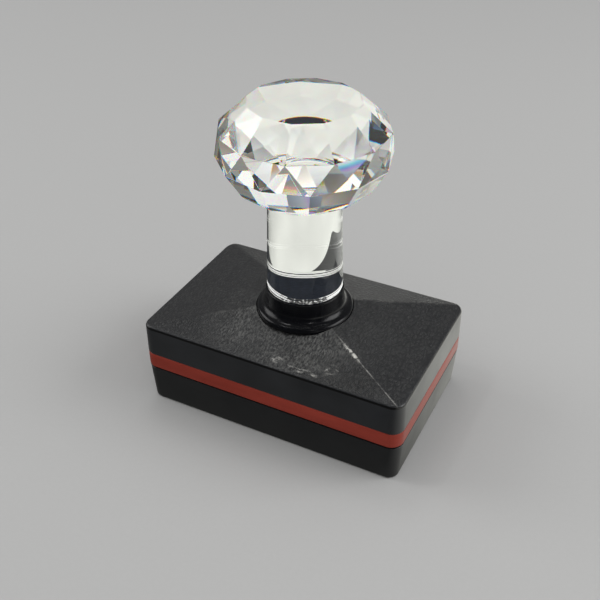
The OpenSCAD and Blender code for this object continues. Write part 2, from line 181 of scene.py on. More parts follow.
class StampColours(bpy.types.PropertyGroup):
    """Colours of the finishes, in linear values."""

    shell: colour("Shell", "Grained black plastic", (0.0078, 0.0083, 0.0098))
    skirt: colour("Skirt", "Black plastic of the shell's upright side", (0.0108, 0.0118, 0.0142))
    collar: colour("Collar", "Glossy black plastic", (0.0022, 0.0024, 0.0034))
    ring: colour("Ring", "Dark red plastic", (0.28, 0.035, 0.021))
    bond: colour("Bond", "Black adhesive", (0.009, 0.011, 0.016))
    bezel: colour("Bezel", "Matte black plastic", (0.02, 0.021, 0.023))
    carrier: colour("Carrier", "Dark grey plastic", (0.05, 0.052, 0.055))
    foam: colour("Foam", "Inked microporous foam", (0.26, 0.025, 0.035))
    felt: colour("Felt", "Ink-soaked felt", (0.12, 0.01, 0.02))
    steel: colour("Steel", "Plated steel", (0.55, 0.56, 0.58))
    wire: colour("Wire", "Spring wire", (0.48, 0.49, 0.51))
    brass: colour("Brass", "Turned brass", (0.62, 0.43, 0.14))
    # Pale tone of the grain, which is also the colour of the shell's painted sheen
    rubbed_and_sheen: colour("Rubbed grain", "Black plastic where it is rubbed pale", (0.3, 0.3, 0.285))
    # Colour of the shell's painted ridge highlight and painted glints
    painted_glint: colour("Scratches", "Black plastic where it is scratched white", (0.6, 0.59, 0.55))
    ground: colour("Ground edge", "Ground glass at the stem's foot", (0.9, 0.9, 0.88))
    floor: colour("Floor", "Pale grey floor", (0.48, 0.48, 0.475))


class StampStage(bpy.types.PropertyGroup):
    """Camera of the photograph and the tone behind the stamp."""

    azimuth: angle("Azimuth", "Turn of the camera about the stamp", 27.28)
    elevation: angle("Elevation", "Height of the camera over the horizon", 35.76)
    roll: angle("Roll", "Roll of the camera", -0.45)
    distance: length("Distance", "Distance of the camera from the eave's middle", 233.8)
    side: length("Side step", "Step of the camera to its right", -1.4, lowest=-1000)
    rise: length("Up step", "Step of the camera along its up axis", 4.13, lowest=-1000)
    lens: number("Lens", "Focal length in millimetres", 51.66)
    backdrop: number("Backdrop", "Tone of the far floor and the room", 0.44)
    floor_half: length("Floor", "Half the side of the floor", 3000)


def sizes():
    return bpy.context.scene.stamp_sizes


def colours():
    return bpy.context.scene.stamp_colours


def eave_height():
    """Height of the eave: the ring and the shell's side stand on the cap's lip."""
    s = sizes()
    return s.cap_lip + s.ring_height + s.skirt_height


def recess_floor():
    """Height of the floor of the recess that the collar's lip stands in."""
    s = sizes()
    return COLLAR_LO.z + s.hub_wall - s.pin_gap


# Meshes


def put_mesh(name, points, faces, sharp=32):
    """An object from points and faces, which are turned outwards and smoothed below the sharp angle."""
    mesh = bpy.data.meshes.new(name)
    mesh.from_pydata(points.tolist(), [], faces)
    bm = bmesh.new()
    bm.from_mesh(mesh)
    bmesh.ops.recalc_face_normals(bm, faces=bm.faces)
    bm.to_mesh(mesh)
    bm.free()
    mesh.polygons.foreach_set("use_smooth", np.ones(len(mesh.polygons), dtype=bool))
    mesh.set_sharp_from_angle(angle=math.radians(sharp))
    mesh.update()
    made = bpy.data.objects.new(name, mesh)
    bpy.context.scene.collection.objects.link(made)
    return made


def grid_faces(rows, around, start=0, loop=False):
    """Quads of a grid whose rows are closed rings; with loop the last row joins the first."""
    last = rows if loop else rows - 1
    i, j = np.meshgrid(np.arange(last), np.arange(around), indexing="ij")
    up, on = (i + 1) % rows, (j + 1) % around
    quads = np.stack([i * around + j, i * around + on, up * around + on, up * around + j], -1)
    return (quads.reshape(-1, 4) + start).tolist()


def ring_cap(row, around, start=0):
    """One face that closes a ring of the grid."""
    return [(start + row * around + np.arange(around)).tolist()]


def closed_faces(rows, around, start=0):
    """Quads of a grid of rings with a face on its first and on its last ring."""
    ends = ring_cap(0, around, start) + ring_cap(rows - 1, around, start)
    return grid_faces(rows, around, start) + ends


def outline_ways(arc_steps=14, edge_steps=18):
    """The unit plan of a rounded rectangle, corner by corner: corner signs and arc directions of its points.
    A point is the signs times the corner centre plus the radius times the direction."""
    signs = np.array([(1, 1), (-1, 1), (-1, -1), (1, -1)], float)
    turn = np.linspace(0, math.pi / 2, arc_steps + 1)
    along = np.linspace(0, 1, edge_steps + 1)[1:-1]
    sides = []
    for k in range(4):
        a = turn + k * math.pi / 2
        here, there = signs[k], signs[(k + 1) % 4]
        corner = np.column_stack([np.tile(here, (len(a), 1)), np.cos(a), np.sin(a)])
        straight = here + (there - here) * along[:, None]
        edge = np.column_stack([straight, np.tile([math.cos(a[-1]), math.sin(a[-1])], (len(along), 1))])
        sides += [corner, edge]
    ways = np.concatenate(sides)
    return ways[:, :2], ways[:, 2:]


SIGNS, WAYS = outline_ways()
AROUND = len(SIGNS)


def outlines(insets, heights):
    """Rounded rectangles at the insets from the body's outline, one row each, at the heights.
    The half sides shrink by the inset and the corner radius shrinks with it down to the inner radius."""
    s = sizes()
    inset = np.asarray(insets, float)[:, None]
    z = np.broadcast_to(np.asarray(heights, float).reshape(len(insets), -1), (len(insets), AROUND))
    r = np.maximum(s.corner_radius - inset, s.inner_radius)
    x = SIGNS[:, 0] * (s.body_length / 2 - inset - r) + r * WAYS[:, 0]
    y = SIGNS[:, 1] * (s.body_width / 2 - inset - r) + r * WAYS[:, 1]
    return np.stack([x, y, z], -1)


def outline_block(name, profile, loop=False):
    """A piece whose rows are outlines at the profile's insets and heights. Its first and last row close it;
    with loop it is a ring instead."""
    rows = outlines(profile[:, 0], profile[:, 1])
    faces = grid_faces(len(rows), AROUND, loop=True) if loop else closed_faces(len(rows), AROUND)
    return put_mesh(name, rows.reshape(-1, 3), faces)


def arc(cx, cz, r, a0, a1, steps):
    """Points of an arc in a profile plane, angles in degrees."""
    a = np.radians(np.linspace(a0, a1, steps + 1))
    return np.column_stack([cx + r * np.cos(a), cz + r * np.sin(a)])


def lathe(profile, around, turn=0.0):
    """A profile of radius and height carried round the Z axis."""
    a = turn + np.arange(around) * 2 * math.pi / around
    r, z = np.asarray(profile).T
    return np.stack([r[:, None] * np.cos(a), r[:, None] * np.sin(a), np.repeat(z[:, None], around, 1)], -1)


def dress(obj, material, body, slot_name, *nodes):
    """Gives a piece its finish and its body, and hides the solids that it stands for. The slot name is not
    used.
    """
    obj.data.materials.append(material)
    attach(obj, body)
    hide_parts(*nodes)


def refinish(node, material):
    """Gives a solid of the frame another finish."""
    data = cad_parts[node].data
    data.materials.clear()
    data.materials.append(material)


# Finishes


def scaled(tone, share):
    """A colour made lighter or darker by a factor."""
    return tuple(share * v for v in tone)


class Nodes:
    """Short calls for the node tree of a material or of the world."""

    def __init__(self, owner, out="ShaderNodeOutputMaterial"):
        owner.use_nodes = True
        self.owner = owner
        self.tree = owner.node_tree
        self.tree.nodes.clear()
        self.out = self.add(out)

    def feed(self, socket, value):
        """Links another node's socket or sets a plain value; a colour gets its fourth number."""
        if isinstance(value, bpy.types.NodeSocket):
            self.tree.links.new(value, socket)
        elif socket.type == "RGBA":
            socket.default_value = (*value, 1)
        else:
            socket.default_value = value

    def add(self, kind, *inputs, **values):
        """A new node. Values with a lower-case name are its settings, the others go to the sockets of their
        names, and the inputs go to its first sockets in order."""
        made = self.tree.nodes.new(kind)
        for name in filter(str.islower, values):
            setattr(made, name, values[name])
        for socket, value in zip(made.inputs, inputs):
            self.feed(socket, value)
        for name, value in values.items():
            if not name.islower():
                self.feed(made.inputs[name.replace("_", " ")], value)
        return made

    def show(self, shader):
        """Gives the owner this shader."""
        self.feed(self.out.inputs["Surface"], shader)
        return self.owner

    def here(self):
        """Object coordinates."""
        return self.add("ShaderNodeTexCoord").outputs["Object"]

    def place(self):
        """The three object coordinates of a point, each on its own."""
        return self.add("ShaderNodeSeparateXYZ", self.here()).outputs

    def coords(self, scale):
        """Object coordinates, stretched."""
        return self.add("ShaderNodeMapping", self.here(), Scale=scale).outputs[0]

    def noise(self, scale, detail=2.0, rough=0.5, stretch=(1, 1, 1)):
        """A noise pattern of about 1/scale metres."""
        here = self.coords(stretch)
        return self.add("ShaderNodeTexNoise", here, Scale=scale, Detail=detail, Roughness=rough).outputs[0]

    def pebbles(self, scale, stretch):
        """Distance from the creases between irregular pebbles of about 1/scale metres."""
        here = self.coords(stretch)
        warp = self.add("ShaderNodeTexNoise", here, Scale=1.4 * scale, Detail=2.0).outputs["Color"]
        push = self.add("ShaderNodeVectorMath", warp, (0.6 / scale,) * 3, here, operation="MULTIPLY_ADD")
        made = self.add("ShaderNodeTexVoronoi", push.outputs[0], feature="DISTANCE_TO_EDGE", Scale=scale)
        return made.outputs["Distance"]

    def span(self, value, lo, hi, to_lo=0, to_hi=1):
        """Maps a value between lo and hi to another span, clamped."""
        return self.add("ShaderNodeMapRange", value, lo, hi, to_lo, to_hi).outputs[0]

    def within(self, value, start, full, fall, end):
        """One between full and fall, running out to nothing at start and at end."""
        return self.times(self.span(value, start, full), self.span(value, fall, end, 1, 0))

    def maths(self, how, a, b=0):
        """A calculation of the given kind on one or two values."""
        return self.add("ShaderNodeMath", a, b, operation=how).outputs[0]

    def plus(self, a, b):
        return self.maths("ADD", a, b)

    def minus(self, a, b):
        return self.maths("SUBTRACT", a, b)

    def most(self, a, b):
        return self.maths("MAXIMUM", a, b)

    def size(self, a):
        """A value without its sign."""
        return self.maths("ABSOLUTE", a)

    def times(self, first, *others):
        """The product of values."""
        for other in others:
            first = self.maths("MULTIPLY", first, other)
        return first

    def squares(self, a, b):
        """The sum of two squares."""
        return self.plus(self.times(a, a), self.times(b, b))

    def either(self, fac, a, b, kind="FLOAT", first=2, out=0):
        """The value a, or b where fac is one; the sockets are those for values of the kind."""
        made = self.add("ShaderNodeMix", fac, data_type=kind)
        self.feed(made.inputs[first], a)
        self.feed(made.inputs[first + 1], b)
        return made.outputs[out]

    def tint(self, fac, a, b):
        """A mix of two colours, each of which may come from another node."""
        return self.either(fac, a, b, "RGBA", 6, 2)

    def shader(self, kind, *inputs, **values):
        """A shader of the given kind with its sockets set or linked."""
        return self.add(kind, *inputs, **values).outputs[0]

    def blend(self, fac, a, b):
        """The shader a, or b where fac is one."""
        return self.shader("ShaderNodeMixShader", fac, a, b)

    def together(self, a, b):
        """The light of two shaders added up."""
        return self.shader("ShaderNodeAddShader", a, b)

    def bump(self, height, distance):
        """A surface direction from a height that is worth so many metres."""
        return self.add("ShaderNodeBump", Height=height, Distance=distance).outputs["Normal"]

    def principled(self, base, rough, normal=None, **values):
        """A Principled shader; a surface direction is linked where there is one."""
        if normal is not None:
            values["Normal"] = normal
        return self.shader("ShaderNodeBsdfPrincipled", Base_Color=base, Roughness=rough, **values)

    def surface(self, *parts, **values):
        """Gives the owner a Principled shader."""
        return self.show(self.principled(*parts, **values))


def new_finish(name):
    return Nodes(bpy.data.materials.new(name))


def fine_grain(n):
    """The grain of all the black plastic: its height, its slight paleness and its roughness."""
    broad = n.noise(140)
    pale = n.span(broad, 0.3, 0.75, 0.0, 0.012)
    rough = n.span(broad, 0.3, 0.7, 0.34, 0.44)
    return n.noise(2600, 3.0, 0.55), pale, rough


def grained_surface(n, shade, rough, height):
    """The semi-gloss surface of the black plastic over a grain of the given height."""
    normal = n.bump(height, 0.08 * MM)
    return n.surface(shade, rough, normal, Specular_IOR_Level=0.35, Coat_Weight=0.55, Coat_Roughness=0.3)


def grained_black(name, base):
    """Moulded black plastic with a fine grain."""
    n = new_finish(name)
    fine, pale, rough = fine_grain(n)
    return grained_surface(n, n.tint(pale, base, colours().rubbed_and_sheen), rough, n.times(fine, 0.35))


def painted_ridge_highlight(n, x, y, along, across):
    """Painted highlight on the front right ridge, where both slopes stand equally high: a thin broken line,
    and a wider painted glint in its upper part. The other ridges have a trace of it."""
    off = n.size(n.minus(along, across))
    front_right = n.times(n.span(x, 0, 2 * MM, 0.06, 1), n.span(y, -2 * MM, 0, 1, 0.06))
    broken = n.span(n.noise(520, 3.0, 0.7), 0.4, 0.6, 0.05, 0.6)
    high = n.times(n.span(along, 0.36, 0.46, 0.2, 1.4), n.span(along, 0.60, 0.70, 1, 0.5))
    line = n.times(n.span(off, 0.0, 0.012, 1, 0), broken, high)
    ridge_glint = n.times(
        n.within(along, 0.42, 0.47, 0.55, 0.60),
        n.span(off, 0.012, 0.03, 1, 0),
        n.span(n.noise(760, 4.0, 0.7), 0.44, 0.54),
    )
    return n.times(n.most(line, ridge_glint), front_right)


def painted_slope_glints(n, x, y):
    """Painted glints on the front slope, drawn as short pale strokes in soft oval patches. A patch is one at
    its middle and runs out to nothing where the squares of its two offsets, as shares of its radii, add up
    to one."""

    def patch(cx, cy, rx, ry):
        px = n.maths("DIVIDE", n.minus(x, cx * MM), rx * MM)
        py = n.maths("DIVIDE", n.minus(y, cy * MM), ry * MM)
        return n.span(n.squares(px, py), 0.05, 1.0, 1, 0)

    strokes = n.span(n.noise(820, 4.0, 0.7, (0.8, 1.3, 1)), 0.5, 0.66, 0.0, 0.7)
    spread = n.times(patch(8, -20, 14, 4.5), 0.12)
    for spot in ((2.4, -20.6, 2.2, 1.7), (16.8, -18.8, 2.2, 1.8), (10, -21.8, 6, 0.9)):
        spread = n.most(spread, patch(*spot))
    return n.times(spread, strokes)


def painted_roof_sheen(n, x, y, along, across):
    """Painted sheen in fine pale streaks: around the collar, most on the front slope."""
    front_slope = n.span(n.minus(across, along), -0.03, 0.03, 0.3, 1)
    front = n.times(front_slope, n.span(y, -MM, MM, 1, 0.4))
    near = n.span(n.maths("SQRT", n.squares(x, y)), 15 * MM, 30 * MM, 1, 0)
    clouds = n.span(n.noise(110), 0.38, 0.62, 0.5, 1.2)
    streaks = n.span(n.noise(2200, 2.0, 0.5, (1.0, 0.4, 1.0)), 0.4, 0.64, 0.0, 0.34)
    return n.times(near, front, clouds, streaks)


def grained_black_with_painted_light(name, base):
    """Grained black plastic of the shell. On the roof the grain is leathery: irregular pebbles with paler
    tops, with painted sheen in streaks around the collar, a painted highlight on the front right ridge and
    painted glints on the front slope. The rounded eave is smooth, with painted shade darkening it, and the
    side below it a little paler, in soft clouds."""
    n = new_finish(name)
    s, c = sizes(), colours()
    fine, pale, rough = fine_grain(n)
    x, y, z = n.place()
    eave = eave_height()
    on_roof = n.span(z, eave - 0.2 * MM, eave + 0.3 * MM)
    tops = n.plus(n.span(n.pebbles(1150, (1.0, 0.5, 1.0)), 0.02, 0.26, 0, 1.2), fine)
    tops = n.times(tops, on_roof)
    height = n.plus(n.times(fine, 0.35), tops)
    # Distances from the middle as shares of the half sides
    along = n.maths("DIVIDE", n.size(x), s.body_length / 2)
    across = n.maths("DIVIDE", n.size(y), s.body_width / 2)
    pale = n.plus(pale, n.span(tops, 0.5, 1.7, 0.0, 0.06))
    # Painted sheen: pale streaks around the collar, most on the front slope
    pale = n.plus(pale, n.times(painted_roof_sheen(n, x, y, along, across), on_roof))
    # Painted ridge highlight and painted glints on the front slope, tinted towards white
    painted_glints = n.times(n.most(painted_ridge_highlight(n, x, y, along, across), painted_slope_glints(n, x, y)), on_roof)
    cloud = n.span(n.noise(60), 0.35, 0.65)
    plain = n.tint(on_roof, n.tint(cloud, c.skirt, scaled(c.skirt, 1.6)), base)
    shade = n.tint(painted_glints, n.tint(pale, plain, c.rubbed_and_sheen), c.painted_glint)
    # Painted shade: a dark band along the rounded eave, which is also smoother
    smooth = n.within(z, eave - 0.75 * MM, eave - 0.5 * MM, eave - 0.15 * MM, eave)
    shade = n.tint(smooth, shade, scaled(base, 0.15))
    rough = n.minus(n.minus(rough, n.times(painted_glints, 0.15)), n.times(smooth, 0.2))
    return grained_surface(n, shade, rough, height)


def mottled(n, base, tones, spread, rough, relief, depth, start=0.3, **values):
    """A finish whose tone follows a noise pattern, from one share of the base colour to another, with a
    relief of so many millimetres from that pattern or from another."""
    shade = n.tint(n.span(spread, start, 0.7), scaled(base, tones[0]), scaled(base, tones[1]))
    return n.surface(shade, rough, n.bump(relief, depth * MM), **values)


def dull_black(name, base):
    """Cured black adhesive, which wets the glass and so shows no shine of its own."""
    n = new_finish(name)
    fleck = n.noise(1400)
    rough = n.span(fleck, 0.3, 0.7, 0.7, 0.9)
    return mottled(n, base, (1, 2.2), fleck, rough, fleck, 0.02, start=0.35, Specular_IOR_Level=0.04)


def gloss_black(name, base):
    """Polished black plastic with a slight orange peel and fine handling marks."""
    n = new_finish(name)
    peel = n.noise(700, 1.0, 0.4)
    marks = n.noise(900, 3.0, 0.6, (1, 1, 0.15))
    rough = n.span(marks, 0.35, 0.75, 0.16, 0.3)
    return mottled(n, base, (1, 1.5), marks, rough, peel, 0.012, start=0.4, Specular_IOR_Level=0.3)


def red_plastic(name, base):
    """Satin red plastic with slight flow marks."""
    n = new_finish(name)
    flow = n.noise(220, 3.0, 0.55, (0.3, 0.3, 1.5))
    fine = n.noise(3800)
    rough = n.span(flow, 0.3, 0.7, 0.3, 0.44)
    return mottled(n, base, (0.82, 1.12), flow, rough, fine, 0.018, Specular_IOR_Level=0.3)


def clear_crystal(name, spread=True):
    """Polished crystal glass. With spread, each primary has an index of its own where light first enters,
    which parts the colours as cut crystal does; inside, all three share one index. Light that has bounced
    about inside leaves straight ahead instead of being lost. Lamps shine through it."""
    n = new_finish(name)

    def glass(tone, index, kind="ShaderNodeBsdfGlass"):
        return n.shader(kind, Color=tone, Roughness=0.0, IOR=index)

    path = n.add("ShaderNodeLightPath").outputs
    body = glass((0.985, 0.995, 0.99), GLASS_INDEX)
    if spread:
        red, green = glass((1, 0, 0), RED_INDEX), glass((0, 1, 0), GLASS_INDEX)
        parted = n.together(n.together(red, green), glass((0, 0, 1), BLUE_INDEX))
        body = n.blend(path["Is Camera Ray"], body, parted)
    straight = glass((0.8, 0.8, 0.8), 1.0, "ShaderNodeBsdfRefraction")
    body = n.blend(n.maths("GREATER_THAN", path["Glossy Depth"], 2.5), body, straight)
    return n.show(n.blend(path["Is Shadow Ray"], body, n.shader("ShaderNodeBsdfTransparent")))


def ground_glass(name, base):
    """Ground glass edge: white all round and lit from both sides, but chipped, with painted shade that
    darkens it towards the front, where only specks of it stay white."""
    n = new_finish(name)
    chips = n.noise(1500, 3.0, 0.65)
    x, y, _ = n.place()
    r = sizes().stem_radius
    ahead = n.plus(n.times(x, 0.46 / r), n.times(y, -0.89 / r))
    # Painted shade: the edge darkens towards the front
    wet = n.span(ahead, 0.6, 0.95, -0.2, 0.12)
    white = n.span(n.minus(chips, wet), 0.4, 0.52)
    shade = n.tint(white, scaled(base, 0.06), base)
    plain = n.principled(shade, n.span(chips, 0.3, 0.7, 0.5, 0.25), n.bump(chips, 0.06 * MM))
    return n.show(n.together(plain, n.shader("ShaderNodeBsdfTranslucent", Color=shade)))


def matte_plastic(name, base):
    """Plain moulded plastic of an inner piece, with a fine grain."""
    n = new_finish(name)
    fine = n.noise(2600)
    broad = n.noise(180)
    return mottled(n, base, (0.85, 1.15), broad, n.span(broad, 0.3, 0.7, 0.45, 0.6), fine, 0.02)


def pore_foam(name, base):
    """Inked microporous foam: tiny pores and a slightly uneven soak."""
    n = new_finish(name)
    pores = n.noise(5200, 2.0, 0.6)
    soak = n.noise(120, 3.0, 0.5)
    return mottled(n, base, (0.7, 1.2), soak, n.span(pores, 0.3, 0.7, 0.5, 0.8), pores, 0.05)


def inked_felt(name, base):
    """Felt soaked with ink: matted fibres with a little sheen."""
    n = new_finish(name)
    fibres = n.noise(2400, 4.0, 0.7, (1, 1, 0.3))
    return mottled(n, base, (0.6, 1.3), fibres, 0.85, fibres, 0.15, Sheen_Weight=0.2)


def worked_metal(name, base, rough):
    """Turned or drawn metal with fine tool lines."""
    n = new_finish(name)
    tool = n.noise(900, 2.0, 0.5, (1, 1, 12))
    rough = n.span(tool, 0.3, 0.7, rough, rough + 0.14)
    return mottled(n, base, (0.85, 1), tool, rough, tool, 0.01, Metallic=1.0)


# Pieces


def roof_height(x, y):
    """Height of the roof over a point: a four-sided slope whose ridges are rounded by a smooth maximum."""
    s = sizes()
    ax, ay = np.abs(x) / (s.body_length / 2), np.abs(y) / (s.body_width / 2)
    ridge = 0.022
    top = 0.5 * (ax + ay + np.sqrt((ax - ay) ** 2 + ridge**2))
    return eave_height() + s.roof_rise * (1 - top)


def cut_knob():
    """Corners and facets of the knob. Six rings of corners stand above each other, some turned half a step
    on, and facets join each ring with the next; the last face is the flat table."""
    s = sizes()
    n, z0 = s.facets, HEAD_LO.z
    top = HEAD_HI.z - z0
    crown_height = s.shoulder_height + (top - s.shoulder_height) * s.crown_share
    rings = (
        (s.base_radius, 0.0, 0.0),
        (s.under_radius, s.under_height, 0.5),
        (s.girdle_radius, s.girdle_height, 0.5),
        (s.shoulder_radius, s.shoulder_height, 0.0),
        (s.crown_radius, crown_height, 0.5),
        (s.table_radius, top, 0.0),
    )
    corners = []
    for r, z, half in rings:
        a = s.knob_turn + (np.arange(n) + half) * 2 * math.pi / n
        corners.append(np.column_stack([r * np.cos(a), r * np.sin(a), np.full(n, z0 + z)]))
    base, under, girdle, shoulder, crown, table = (n * k for k in range(len(rings)))
    i = np.arange(n)
    j = (i + 1) % n
    sides = (
        (base + i, base + j, under + i),
        (base + j, under + j, under + i),
        (under + i, under + j, girdle + j, girdle + i),
        (girdle + i, girdle + j, shoulder + j),
        (girdle + i, shoulder + j, shoulder + i),
        (shoulder + i, shoulder + j, crown + i),
        (shoulder + j, table + j, crown + i),
        (shoulder + j, crown + j, table + j),
        (crown + i, table + j, table + i),
    )
    facets = [f for group in sides for f in np.column_stack(group).tolist()]
    facets.append((table + i).tolist())
    return np.concatenate(corners), facets


def stem_rings(around):
    """Circles of the stem, from the glued joint under the knob down to the foot. The foot's ground rings and
    grooves are uneven: three sine waves lift and lower them, and they stand higher at the front left."""
    s, z0 = sizes(), HEAD_LO.z
    z1 = STEM_LO.z + 2 * s.stem_bevel
    slope = (s.stem_radius - s.stem_top) / (z0 - z1)
    profile = arc(s.stem_top + s.joint_fillet, z0 - s.joint_fillet, s.joint_fillet, 92, 180, 6).tolist()
    profile += [(s.stem_top + slope * (z0 - z), z) for z in np.linspace(z0 - 3 * MM, z1 + 0.5 * MM, 9)]
    wide, slim = s.stem_radius, s.stem_radius - s.stem_groove
    # Radius of each edge of the rings and its depth in ring heights
    edge = ((slim, 0), (wide, 0.3), (wide, 0.55), (slim, 0.7), (wide, 1.5), (slim, 1.75))
    profile += [(r, z1 - share * s.stem_bevel) for r, share in edge]
    profile.append((slim, BOND_TOP - s.glue_lap))
    rings = lathe(profile, around, s.knob_turn)
    t = s.knob_turn + np.arange(around) * 2 * math.pi / around
    wave = np.sin(5 * t + 1.0) + 0.7 * np.sin(11 * t + 2.0) + 0.6 * np.sin(17 * t)
    ripple, heap, heap_way = 0.02 * MM, 0.5 * MM, math.radians(-135)
    high = np.clip(np.cos(t - heap_way), 0, 1) ** 4
    uneven = slice(-7, -2)
    rings[uneven, :, 2] += ripple * wave + heap * high
    return rings


class STAMP_OT_crystal(bpy.types.Operator):
    """Clear knob and stem as one body of glass"""

    bl_idname = "stamp.crystal"
    bl_label = "Crystal knob and stem"

    def execute(self, context):
        s, c = sizes(), colours()
        n = s.facets
        around = STEM_POINTS * n
        corners, facets = cut_knob()
        stem = stem_rings(around)
        start = len(corners)
        faces = facets + grid_faces(len(stem), around, start)
        edge_end = len(faces)
        faces += ring_cap(len(stem) - 1, around, start)
        # The flat underside between the knob's base and the stem, whose points join their nearest corners
        k, i = np.arange(around), np.arange(n)
        half_way = STEM_POINTS // 2
        nearest = ((k + half_way) // STEM_POINTS) % n
        faces += np.column_stack([start + k, start + (k + 1) % around, nearest]).tolist()
        faces += np.column_stack([i, (i + 1) % n, start + (STEM_POINTS * i + half_way) % around]).tolist()
        made = put_mesh("crystal_knob", np.concatenate([corners, stem.reshape(-1, 3)]), faces, sharp=6)
        smooth = np.ones(len(faces), dtype=bool)
        smooth[: len(facets)] = False
        made.data.polygons.foreach_set("use_smooth", smooth)
        edge = made.modifiers.new("polished edges", "BEVEL")
        edge.width = s.facet_edge
        edge.segments = 1
        edge.limit_method = "ANGLE"
        edge.angle_limit = math.radians(7)
        dress(made, clear_crystal("cut crystal"), "stamp", "crystal", "crystal_head", "crystal_stem")
        made.data.materials.append(clear_crystal("clear stem", spread=False))
        made.data.materials.append(ground_glass("ground edge", c.ground))
        made.data.materials.append(dull_black("wet adhesive", c.bond))
        finish = np.where(smooth, CLEAR, 0)
        # Bands from the foot upwards
        for band in (GROUND, WETTED, GROUND, WETTED, WETTED, GROUND):
            finish[edge_end - around : edge_end] = band
            edge_end -= around
        made.data.polygons.foreach_set("material_index", finish.astype(np.int32))
        return {"FINISHED"}


class STAMP_OT_collar(bpy.types.Operator):
    """Glossy black collar under the stem and the adhesive between them"""

    bl_idname = "stamp.collar"
    bl_label = "Collar"

    def execute(self, context):
        s, c = sizes(), colours()
        z0, top, pin, around = recess_floor(), COLLAR_HI.z, COLLAR_LO.z, COLLAR_POINTS
        lip_end = 70
        lip = arc(s.lip_radius - s.lip_round, z0 + s.lip_round, s.lip_round, -90, lip_end, 18)
        flare_z = z0 + 2 * s.lip_round + s.flare_radius * math.sin(math.radians(lip_end))
        flare = arc(s.neck_radius + s.flare_radius, flare_z, s.flare_radius, 180 + lip_end, 180, 18)
        rim = arc(s.neck_radius - s.edge_round, top - s.edge_round, s.edge_round, 0, 90, 5)
        foot = [(s.insert_radius, pin), (s.hub_pin, pin), (s.hub_pin, z0)]
        middle = [(s.insert_radius / 2, top)]
        profile = np.concatenate([foot, lip, flare, rim, middle])
        body = lathe(profile, around)
        blind = lathe([(s.insert_radius, pin + s.insert_length)], around)
        rows = len(profile)
        faces = grid_faces(rows, around)
        faces += ring_cap(rows - 1, around)
        # The wall and the end of the bore for the insert
        k = np.arange(around)
        on = (k + 1) % around
        faces += np.column_stack([k, on, rows * around + on, rows * around + k]).tolist()
        faces += ring_cap(rows, around)
        made = put_mesh("collar_gloss", np.concatenate([body, blind]).reshape(-1, 3), faces, sharp=40)
        dress(made, gloss_black("gloss black", c.collar), "stamp", "collar_black", "collar")
        refinish("bond_disc", dull_black("black adhesive", c.bond))
        return {"FINISHED"}


class STAMP_OT_shell(bpy.types.Operator):
    """Black shell: roof with rounded ridges, eave, upright side, inner wall, hub and spring posts"""

    bl_idname = "stamp.shell"
    bl_label = "Shell"

    def execute(self, context):
        s = sizes()
        skirt = s.cap_lip + s.ring_height
        recess_r, recess_z = s.lip_radius + s.recess_gap, recess_floor()
        hub_r, hub_z = recess_r + s.hub_rim, recess_z - s.hub_wall
        pin_r = s.hub_pin + s.pin_gap
        eave_turn = 75
        turn = math.radians(eave_turn)
        eave_in = s.shell_draft + s.eave_radius * (1 - math.cos(turn))
        eave = outlines([eave_in], [0])[0]
        way = np.arctan2(eave[:, 1], eave[:, 0])
        ray = np.column_stack([np.cos(way), np.sin(way)])

        def circle(r, z):
            """A row of points on a circle, each on the ray to its point of the eave."""
            return np.column_stack([r * ray, np.full(AROUND, z)])[None]

        def slope(edge, r, steps, drop):
            """Roof rows from a circle of radius r out to an edge outline."""
            t = np.linspace(0, 1, steps + 1)[:, None, None]
            plan = (1 - t) * (r * ray) + t * edge[:, :2]
            return np.concatenate([plan, (roof_height(plan[..., 0], plan[..., 1]) - drop)[..., None]], -1)

        roof = slope(eave, recess_r, 26, 0.0)
        turns = np.radians(np.linspace(eave_turn, 0, 9))[1:]
        rounding = outlines(s.shell_draft + s.eave_radius * (1 - np.cos(turns)), np.zeros(len(turns)))
        rounding[..., 2] = roof[-1][:, 2] - s.eave_radius * (math.sin(turn) - np.sin(turns))[:, None]
        foot = arc(s.edge_round, skirt + s.edge_round, s.edge_round, 180, 270, 4)
        side = outlines(foot[:, 0], foot[:, 1])
        inner_edge = outlines([s.shell_wall], [skirt])
        underside = slope(inner_edge[0], hub_r, 10, s.roof_wall)[::-1]
        corners = ((hub_r, hub_z), (pin_r, hub_z), (pin_r, recess_z), (recess_r, recess_z))
        hub = [circle(r, z) for r, z in corners]
        rows = np.concatenate([roof, rounding, side, inner_edge, underside, *hub])
        faces = grid_faces(len(rows), AROUND, loop=True)
        points = [rows.reshape(-1, 3)]
        # Four posts inside that guide the springs, each with its seat under the roof
        x, y = abs(SPRING_LO.x + SPRING_HI.x) / 2, abs(SPRING_LO.y + SPRING_HI.y) / 2
        seat = SPRING_HI.z + s.seat_gap
        pad_z = roof_height(x + s.pad_radius, y) - s.roof_wall / 2
        thin, wide = s.post_radius, s.pad_radius
        profile = [(thin, POST_FOOT), (thin, seat), (wide, seat), (wide, pad_z)]
        post = lathe(profile, POST_POINTS)
        start = len(points[0])
        for sx, sy in ((1, 1), (-1, 1), (-1, -1), (1, -1)):
            points.append((post + [sx * x, sy * y, 0]).reshape(-1, 3))
            faces += closed_faces(len(profile), POST_POINTS, start)
            start += len(points[-1])
        made = put_mesh("shell_black", np.concatenate(points), faces, sharp=50)
        dress(made, grained_black_with_painted_light("grained black", colours().shell), "stamp", "shell_black", "top_shell")
        return {"FINISHED"}


